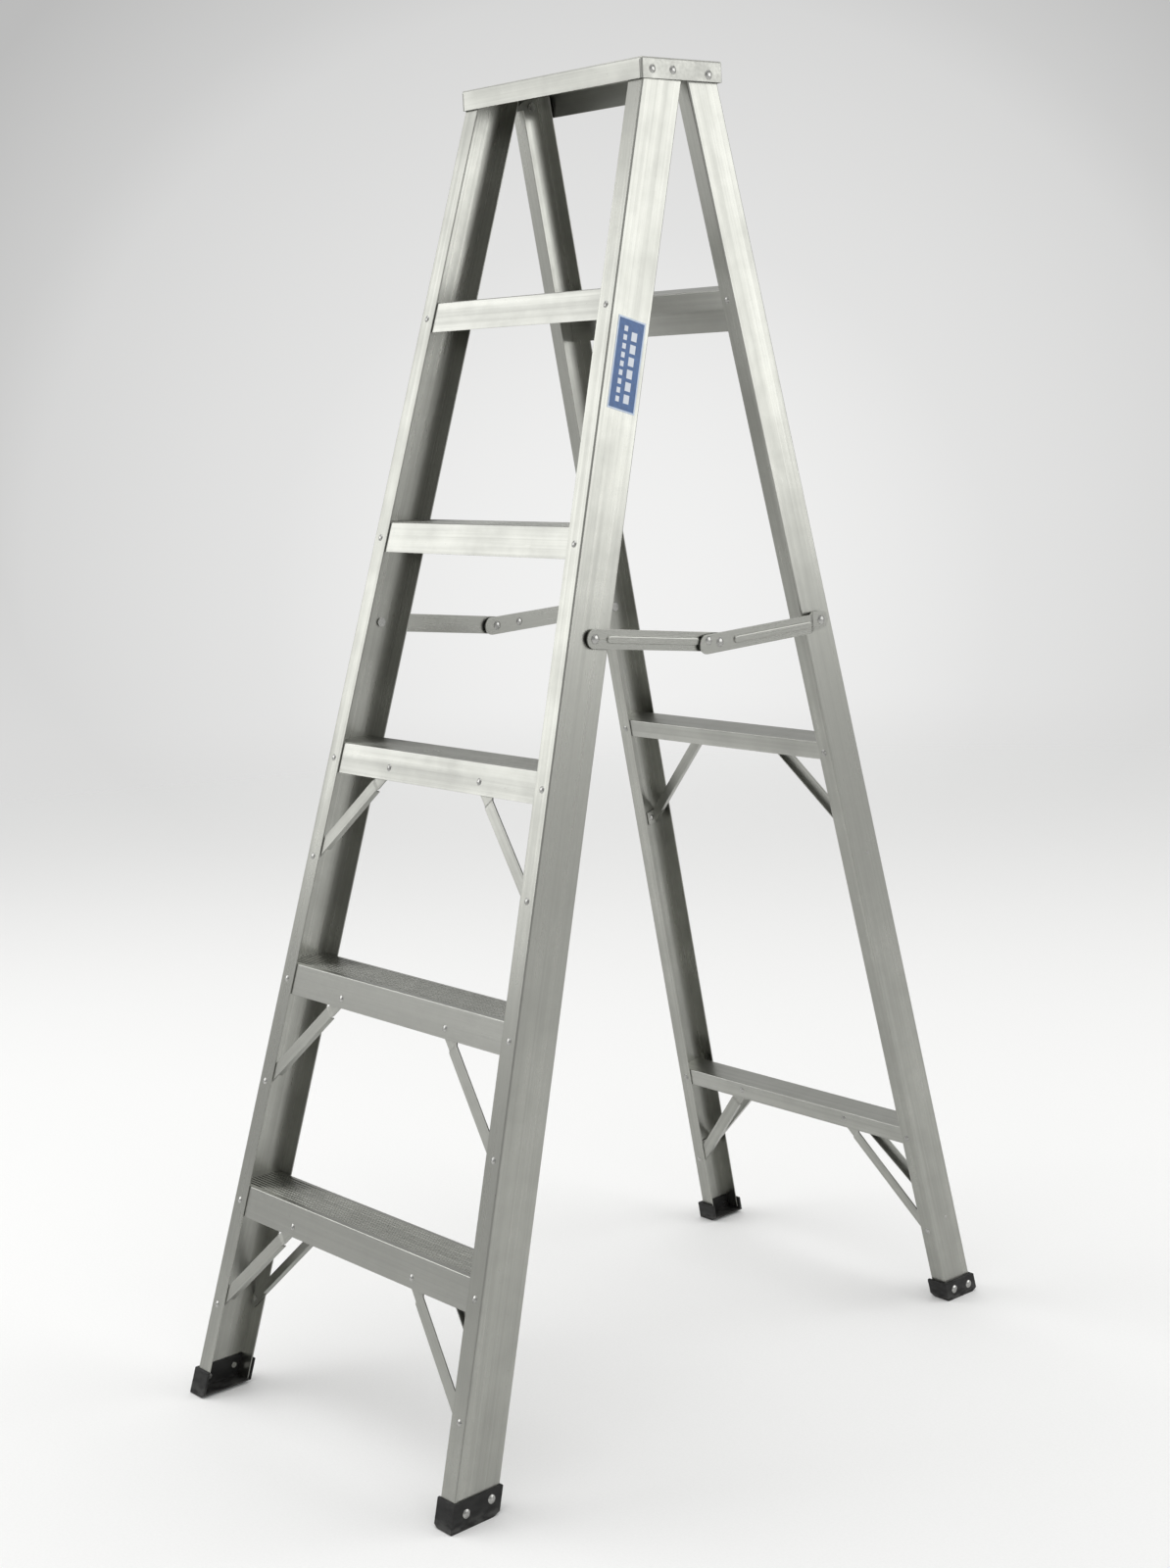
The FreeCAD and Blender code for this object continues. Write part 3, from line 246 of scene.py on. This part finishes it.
def moulded_plastic(name, tone, dust, dust_height):
    """Black moulded plastic with a fine grain and floor dust low down."""
    made, tree, surface = fresh_material(name)
    where = place(tree)
    grain = noise(tree, where, 1400.0, 3.0, 0.6)
    flow = noise(tree, where, 60.0, 4.0, 0.6, (1, 1, 2.4))
    rubbed = reshape(tree, noise(tree, where, 150.0, 5.0, 0.7), 0.60, 0.72)
    split = tree.nodes.new("ShaderNodeSeparateXYZ")
    tree.links.new(where, split.inputs["Vector"])
    low = reshape(tree, split.outputs["Z"], dust_height, 0.0)
    dusty = combine(tree, "MULTIPLY", low, reshape(tree, flow, 0.38, 0.62))
    shade = ramp(tree, flow, [(0.3, scaled(tone, 0.75)), (0.7, scaled(tone, 1.35))])
    shade = blend_colours(tree, combine(tree, "MULTIPLY", rubbed, 0.4), shade, scaled(tone, 3.2))
    shade = blend_colours(tree, combine(tree, "MULTIPLY", dusty, 0.45), shade, dust)
    tree.links.new(shade, surface.inputs["Base Color"])
    tree.links.new(reshape(tree, flow, 0.3, 0.7, 0.62, 0.44), surface.inputs["Roughness"])
    surface.inputs["Specular IOR Level"].default_value = 0.30
    height = combine(tree, "ADD", grain, combine(tree, "MULTIPLY", flow, 0.8))
    relief(tree, surface, height, 0.00015, 0.6, 0.0011)
    return made


def label_film(sizes):
    """A blue printed film with a white border and plain white bars."""
    made, tree, surface = fresh_material("label film")
    verts = [v.co for v in NODES["label"].data.vertices]
    up = long_way("label")
    centre = sum(verts, Vector()) / len(verts)
    normal = Vector((1, 0, 0))
    across = up.cross(normal).normalized()
    if across.y < 0:
        across = -across
    high = (max(v.dot(up) for v in verts) - min(v.dot(up) for v in verts)) / 2
    wide = (max(v.dot(across) for v in verts) - min(v.dot(across) for v in verts)) / 2
    spot = tree.nodes.new("ShaderNodeTexCoord").outputs["Object"]

    def along(direction):
        """Distance from the film's middle along one direction, in metres."""
        made_dot = tree.nodes.new("ShaderNodeVectorMath")
        made_dot.operation = "DOT_PRODUCT"
        made_dot.inputs[1].default_value = direction
        tree.links.new(spot, made_dot.inputs[0])
        return combine(tree, "SUBTRACT", made_dot.outputs["Value"], centre.dot(direction))

    tall = along(up)
    side = along(across)

    def band(value, middle, half):
        """One inside a band, nought outside, with a printed edge."""
        gap = combine(tree, "ABSOLUTE", combine(tree, "SUBTRACT", value, middle), 0.0)
        return reshape(tree, gap, half + PRINT_EDGE, half - PRINT_EDGE)

    field = combine(tree, "MULTIPLY", band(tall, 0.0, high - sizes.border),
                    band(side, 0.0, wide - sizes.border))
    mottle = noise(tree, spot, 170.0, 4.0, 0.6)
    blue = ramp(tree, mottle, [(0.3, scaled(sizes.blue, 0.8)), (0.7, scaled(sizes.blue, 1.2))])
    pale = ramp(tree, mottle, [(0.3, (0.42, 0.50, 0.62)), (0.7, (0.50, 0.58, 0.70))])
    shade = blend_colours(tree, field, pale, blue)
    for middle, reach, offset, half in blocks_on_label(high, wide):
        bar = combine(tree, "MULTIPLY", band(tall, middle, reach), band(side, offset, half))
        shade = blend_colours(tree, bar, shade, (0.60, 0.64, 0.70))
    tree.links.new(shade, surface.inputs["Base Color"])
    surface.inputs["Specular IOR Level"].default_value = 0.5
    wear = noise(tree, spot, 420.0, 4.0, 0.65)
    tree.links.new(reshape(tree, wear, 0.3, 0.7, 0.30, 0.46), surface.inputs["Roughness"])
    relief(tree, surface, wear, 0.00005, 0.5)
    return made


def blocks_on_label(high, wide):
    """Middle and half length along the label, offset and half width across it, per block."""
    blocks = []
    for index in range(SMALL_BLOCKS):
        blocks.append((high * (-0.76 + index * 0.19), high * 0.058, -wide * 0.36, wide * 0.13))
    for index in range(LARGE_BLOCKS):
        blocks.append((high * (-0.72 + index * 0.27), high * 0.095, wide * 0.28, wide * 0.20))
    return blocks


# ------------------------------------------------------------------ settings
class LadderMetal(bpy.types.PropertyGroup):
    rail_tone: FloatVectorProperty(
        name="Rail Metal", description="Colour of the drawn rails", subtype="COLOR",
        default=(0.352, 0.355, 0.328), min=0.0, max=1.0)
    sheet_tone: FloatVectorProperty(
        name="Sheet Metal", description="Colour of treads, bars and cap", subtype="COLOR",
        default=(0.375, 0.378, 0.352), min=0.0, max=1.0)
    strip_tone: FloatVectorProperty(
        name="Strip Metal", description="Colour of braces and spreader links", subtype="COLOR",
        default=(0.372, 0.375, 0.348), min=0.0, max=1.0)
    rivet_tone: FloatVectorProperty(
        name="Rivets", description="Colour of the rivet heads", subtype="COLOR",
        default=(0.40, 0.40, 0.385), min=0.0, max=1.0)
    roughness: FloatProperty(
        name="Roughness", description="Middle roughness of the mill finish",
        default=0.30, min=0.05, max=1.0, subtype="FACTOR")
    lines: FloatProperty(
        name="Die Lines", description="How strongly the drawing lines show",
        default=0.14, min=0.0, max=1.0, subtype="FACTOR")
    scuffs: FloatProperty(
        name="Scuffs", description="How many light scuffs the metal carries",
        default=0.5, min=0.0, max=1.0, subtype="FACTOR")


class LadderPlastic(bpy.types.PropertyGroup):
    tone: FloatVectorProperty(
        name="Moulding", description="Colour of shoes and spacers", subtype="COLOR",
        default=(0.010, 0.010, 0.0095), min=0.0, max=1.0)
    dust: FloatVectorProperty(
        name="Dust", description="Colour of the dust near the floor", subtype="COLOR",
        default=(0.10, 0.10, 0.095), min=0.0, max=1.0)
    dust_height: FloatProperty(
        name="Dust Height", description="How far up the dust reaches",
        default=0.018, min=0.001, max=0.2, unit="LENGTH", subtype="DISTANCE")


class LadderLabel(bpy.types.PropertyGroup):
    blue: FloatVectorProperty(
        name="Film", description="Colour of the printed field", subtype="COLOR",
        default=(0.030, 0.095, 0.25), min=0.0, max=1.0)
    border: FloatProperty(
        name="Border", description="Width of the white border",
        default=0.0022, min=0.0005, max=0.01, unit="LENGTH", subtype="DISTANCE")


class LadderStudio(bpy.types.PropertyGroup):
    camera_place: FloatVectorProperty(
        name="Camera", description="Where the camera stands", subtype="TRANSLATION", unit="LENGTH",
        default=(2.4032, -2.0407, 1.3308))
    camera_azimuth: FloatProperty(
        name="Azimuth", description="Turn of the camera round the ladder",
        default=math.radians(49.18), subtype="ANGLE", unit="ROTATION")
    camera_drop: FloatProperty(
        name="Drop", description="How far the camera looks down",
        default=math.radians(6.73), subtype="ANGLE", unit="ROTATION")
    camera_roll: FloatProperty(
        name="Roll", description="Roll of the camera about its own line",
        default=math.radians(-2.62), subtype="ANGLE", unit="ROTATION")
    lens: FloatProperty(
        name="Lens", description="Focal length on a 36 mm sensor",
        default=54.01, min=10.0, max=300.0)
    rise: FloatProperty(
        name="Rise", description="Vertical shift of the frame", default=-0.0787, min=-0.5, max=0.5)
    floor_radius: FloatProperty(
        name="Floor", description="Radius of the round floor",
        default=7.0, min=1.0, max=50.0, unit="LENGTH", subtype="DISTANCE")
    backdrop: FloatVectorProperty(
        name="Surround", description="Colour of the studio all round", subtype="COLOR",
        default=(0.90, 0.90, 0.895), min=0.0, max=1.0)
    glow: FloatVectorProperty(
        name="Glow", description="Direction of the bright middle of the backdrop", subtype="DIRECTION",
        default=(-0.741, 0.665, -0.094))
    left_power: FloatProperty(
        name="Left Window", description="Power of the soft window on the left",
        default=60.0, min=0.0, unit="POWER")
    right_power: FloatProperty(
        name="Right Window", description="Power of the soft window behind on the right",
        default=72.0, min=0.0, unit="POWER")
    top_power: FloatProperty(
        name="Overhead", description="Power of the soft light overhead",
        default=66.0, min=0.0, unit="POWER")


# ------------------------------------------------------------------ operators
class LADDER_OT_rails(bpy.types.Operator):
    """Gives each rail its drawn finish, with die lines along its own length"""
    bl_idname = "ladder.rails"
    bl_label = "Rails"

    def execute(self, context):
        metal = context.scene.ladder_metal
        for name in RAIL_NODES:
            made = drawn_aluminium("drawn " + name, long_way(name), tuple(metal.rail_tone),
                                   metal.roughness, metal.lines, metal.scuffs)
            dress([name], made)
        return {"FINISHED"}


class LADDER_OT_treads(bpy.types.Operator):
    """Gives the treads their drawn finish"""
    bl_idname = "ladder.treads"
    bl_label = "Treads"

    def execute(self, context):
        metal = context.scene.ladder_metal
        made = drawn_aluminium("drawn treads", Vector((1, 0, 0)), tuple(metal.sheet_tone),
                               metal.roughness + 0.02, metal.lines, metal.scuffs)
        dress(TREAD_NODES, made)
        return {"FINISHED"}


class LADDER_OT_bars(bpy.types.Operator):
    """Gives the rear cross bars their drawn finish"""
    bl_idname = "ladder.bars"
    bl_label = "Rear Bars"

    def execute(self, context):
        metal = context.scene.ladder_metal
        made = drawn_aluminium("drawn bars", Vector((1, 0, 0)), tuple(metal.sheet_tone),
                               metal.roughness + 0.04, metal.lines, metal.scuffs)
        dress(BAR_NODES, made)
        return {"FINISHED"}


class LADDER_OT_cap(bpy.types.Operator):
    """Gives the top cap its sheet finish"""
    bl_idname = "ladder.cap"
    bl_label = "Top Cap"

    def execute(self, context):
        metal = context.scene.ladder_metal
        made = drawn_aluminium("sheet cap", Vector((1, 0, 0)), tuple(metal.sheet_tone),
                               metal.roughness + 0.14, metal.lines * 0.7, metal.scuffs)
        dress(["top_cap"], made)
        return {"FINISHED"}


class LADDER_OT_braces(bpy.types.Operator):
    """Gives each brace its strip finish, with the grain along the strip"""
    bl_idname = "ladder.braces"
    bl_label = "Braces"

    def execute(self, context):
        metal = context.scene.ladder_metal
        for name in BRACE_NODES:
            made = drawn_aluminium("strip " + name, long_way(name), tuple(metal.strip_tone),
                                   metal.roughness + 0.12, metal.lines, metal.scuffs)
            dress([name], made)
        return {"FINISHED"}


class LADDER_OT_spreaders(bpy.types.Operator):
    """Gives each spreader link its pressed finish"""
    bl_idname = "ladder.spreaders"
    bl_label = "Spreader Links"

    def execute(self, context):
        metal = context.scene.ladder_metal
        for name in LINK_NODES:
            made = drawn_aluminium("pressed " + name, long_way(name), tuple(metal.strip_tone),
                                   metal.roughness - 0.02, metal.lines * 0.8, metal.scuffs)
            dress([name], made)
        return {"FINISHED"}


class LADDER_OT_rivets(bpy.types.Operator):
    """Gives rivets, pivots and studs their formed finish"""
    bl_idname = "ladder.rivets"
    bl_label = "Rivets and Pivots"

    def execute(self, context):
        dress(RIVET_NODES, rivet_metal(tuple(context.scene.ladder_metal.rivet_tone)))
        return {"FINISHED"}


class LADDER_OT_shoes(bpy.types.Operator):
    """Gives shoes and spacers their moulded finish"""
    bl_idname = "ladder.shoes"
    bl_label = "Shoes and Spacers"

    def execute(self, context):
        plastic = context.scene.ladder_plastic
        made = moulded_plastic("moulded shoe", tuple(plastic.tone), tuple(plastic.dust),
                               plastic.dust_height)
        dress(SHOE_NODES, made)
        made = moulded_plastic("moulded spacer", scaled(tuple(plastic.tone), 1.6), tuple(plastic.dust),
                               plastic.dust_height)
        dress(SPACER_NODES, made)
        return {"FINISHED"}


class LADDER_OT_label(bpy.types.Operator):
    """Gives the label its printed film"""
    bl_idname = "ladder.label"
    bl_label = "Label"

    def execute(self, context):
        dress(["label"], label_film(context.scene.ladder_label))
        return {"FINISHED"}


class LADDER_OT_studio(bpy.types.Operator):
    """Makes the floor, the soft lights, the surround and the camera"""
    bl_idname = "ladder.studio"
    bl_label = "Studio"

    def execute(self, context):
        studio = context.scene.ladder_studio
        self.floor(context, studio)
        self.surround(context, studio)
        self.softbox(context, "window left", *LEFT_WINDOW, studio.left_power)
        self.softbox(context, "window right", *RIGHT_WINDOW, studio.right_power)
        self.softbox(context, "overhead", *OVERHEAD, studio.top_power)
        self.camera(context, studio)
        return {"FINISHED"}

    def floor(self, context, studio):
        mesh = bpy.data.meshes.new("studio floor")
        shape = bmesh.new()
        bmesh.ops.create_circle(shape, cap_ends=True, cap_tris=True, segments=FLOOR_SEGMENTS,
                                radius=studio.floor_radius)
        shape.to_mesh(mesh)
        shape.free()
        floor = bpy.data.objects.new("studio_floor", mesh)
        context.scene.collection.objects.link(floor)
        made, tree, surface = fresh_material("studio floor")
        where = place(tree)
        grain = noise(tree, where, 300.0, 3.0, 0.6)
        shade = ramp(tree, grain, [(0.3, (0.84, 0.84, 0.835)), (0.7, (0.87, 0.87, 0.865))])
        tree.links.new(shade, surface.inputs["Base Color"])
        surface.inputs["Roughness"].default_value = 0.7
        surface.inputs["Specular IOR Level"].default_value = 0.2
        span = tree.nodes.new("ShaderNodeVectorMath")
        span.operation = "LENGTH"
        tree.links.new(where, span.inputs[0])
        fade = reshape(tree, span.outputs["Value"], studio.floor_radius * 0.98, studio.floor_radius * 0.3)
        tree.links.new(fade, surface.inputs["Alpha"])
        mesh.materials.append(made)

    def surround(self, context, studio):
        world = bpy.data.worlds.new("studio surround")
        context.scene.world = world
        world.use_nodes = True
        tree = world.node_tree
        tree.nodes.clear()
        output = tree.nodes.new("ShaderNodeOutputWorld")
        glow = tree.nodes.new("ShaderNodeBackground")
        spot = tree.nodes.new("ShaderNodeTexCoord")
        split = tree.nodes.new("ShaderNodeSeparateXYZ")
        tree.links.new(spot.outputs["Generated"], split.inputs["Vector"])
        colour = tuple(studio.backdrop)
        height = combine(tree, "MULTIPLY", combine(tree, "ADD", split.outputs["Z"], 1.0), 0.5)
        shade = ramp(tree, height, [
            (0.26, colour),
            (0.415, scaled(colour, 0.80)),
            (0.50, scaled(colour, 0.68)),
            (0.57, scaled(colour, 0.56)),
            (0.70, scaled(colour, 0.54)),
            (1.00, colour),
        ])
        aim = tree.nodes.new("ShaderNodeVectorMath")
        aim.operation = "DOT_PRODUCT"
        aim.inputs[1].default_value = Vector(studio.glow).normalized()
        tree.links.new(spot.outputs["Generated"], aim.inputs[0])
        near = tree.nodes.new("ShaderNodeMapRange")
        near.inputs["From Min"].default_value = 0.90
        near.inputs["From Max"].default_value = 1.0
        tree.links.new(aim.outputs["Value"], near.inputs["Value"])
        halo = ramp(tree, near.outputs["Result"], [
            (0.00, scaled(colour, 0.40)),
            (0.40, scaled(colour, 0.545)),
            (0.61, scaled(colour, 0.68)),
            (0.68, scaled(colour, 0.755)),
            (0.88, scaled(colour, 0.85)),
            (1.00, scaled(colour, 0.98)),
        ])
        lighten = tree.nodes.new("ShaderNodeMix")
        lighten.data_type = "RGBA"
        lighten.blend_type = "LIGHTEN"
        lighten.inputs[0].default_value = 1.0
        tree.links.new(shade, lighten.inputs[6])
        tree.links.new(halo, lighten.inputs[7])
        shade = lighten.outputs[2]
        tree.links.new(shade, glow.inputs["Color"])
        glow.inputs["Strength"].default_value = 1.0
        tree.links.new(glow.outputs["Background"], output.inputs["Surface"])

    def softbox(self, context, name, spot, aim, size, power):
        lamp = bpy.data.lights.new(name, "AREA")
        lamp.shape = "RECTANGLE"
        lamp.size, lamp.size_y = size
        lamp.energy = power
        holder = bpy.data.objects.new(name, lamp)
        holder.location = spot
        holder.rotation_euler = (Vector(aim) - Vector(spot)).to_track_quat("-Z", "Y").to_euler()
        context.scene.collection.objects.link(holder)

    def camera(self, context, studio):
        azimuth, drop, roll = studio.camera_azimuth, studio.camera_drop, studio.camera_roll
        ahead = Vector((-math.sin(azimuth) * math.cos(drop), math.cos(azimuth) * math.cos(drop),
                        -math.sin(drop)))
        level = Vector((math.cos(azimuth), math.sin(azimuth), 0))
        rise = level.cross(ahead)
        right = level * math.cos(roll) + rise * math.sin(roll)
        up = rise * math.cos(roll) - level * math.sin(roll)
        lens = bpy.data.cameras.new("studio camera")
        lens.lens = studio.lens
        lens.sensor_width = SENSOR_WIDTH
        lens.sensor_fit = "AUTO"
        lens.shift_x = SIDE_SHIFT
        lens.shift_y = studio.rise
        lens.clip_start = NEAREST
        lens.clip_end = FARTHEST
        holder = bpy.data.objects.new("studio_camera", lens)
        axes = Matrix((right, up, -ahead)).transposed().to_4x4()
        holder.matrix_world = Matrix.Translation(Vector(studio.camera_place)) @ axes
        context.scene.collection.objects.link(holder)
        context.scene.camera = holder
        context.scene.view_settings.view_transform = "Standard"


class LADDER_PT_panel(bpy.types.Panel):
    """Lists the ladder's finishes and its studio"""
    bl_idname = "LADDER_PT_panel"
    bl_label = "Step Ladder"
    bl_space_type = "VIEW_3D"
    bl_region_type = "UI"
    bl_category = "Step Ladder"

    def draw(self, context):
        layout = self.layout
        for group in ("ladder_metal", "ladder_plastic", "ladder_label", "ladder_studio"):
            settings = getattr(context.scene, group)
            box = layout.box()
            for key in settings.__annotations__:
                box.prop(settings, key)
        for operator in OPERATORS:
            layout.operator(operator.bl_idname)


GROUPS = (LadderMetal, LadderPlastic, LadderLabel, LadderStudio)
OPERATORS = (LADDER_OT_rails, LADDER_OT_treads, LADDER_OT_bars, LADDER_OT_cap, LADDER_OT_braces,
             LADDER_OT_spreaders, LADDER_OT_rivets, LADDER_OT_shoes, LADDER_OT_label, LADDER_OT_studio)


def register():
    for kind in GROUPS + OPERATORS + (LADDER_PT_panel,):
        bpy.utils.register_class(kind)
    bpy.types.Scene.ladder_metal = PointerProperty(type=LadderMetal)
    bpy.types.Scene.ladder_plastic = PointerProperty(type=LadderPlastic)
    bpy.types.Scene.ladder_label = PointerProperty(type=LadderLabel)
    bpy.types.Scene.ladder_studio = PointerProperty(type=LadderStudio)


def unregister():
    del bpy.types.Scene.ladder_studio
    del bpy.types.Scene.ladder_label
    del bpy.types.Scene.ladder_plastic
    del bpy.types.Scene.ladder_metal
    for kind in reversed(GROUPS + OPERATORS + (LADDER_PT_panel,)):
        bpy.utils.unregister_class(kind)


def main():
    register()
    bpy.ops.ladder.rails()
    bpy.ops.ladder.treads()
    bpy.ops.ladder.bars()
    bpy.ops.ladder.cap()
    bpy.ops.ladder.braces()
    bpy.ops.ladder.spreaders()
    bpy.ops.ladder.rivets()
    bpy.ops.ladder.shoes()
    bpy.ops.ladder.label()
    bpy.ops.ladder.studio()


if __name__ == "__main__":
    main()
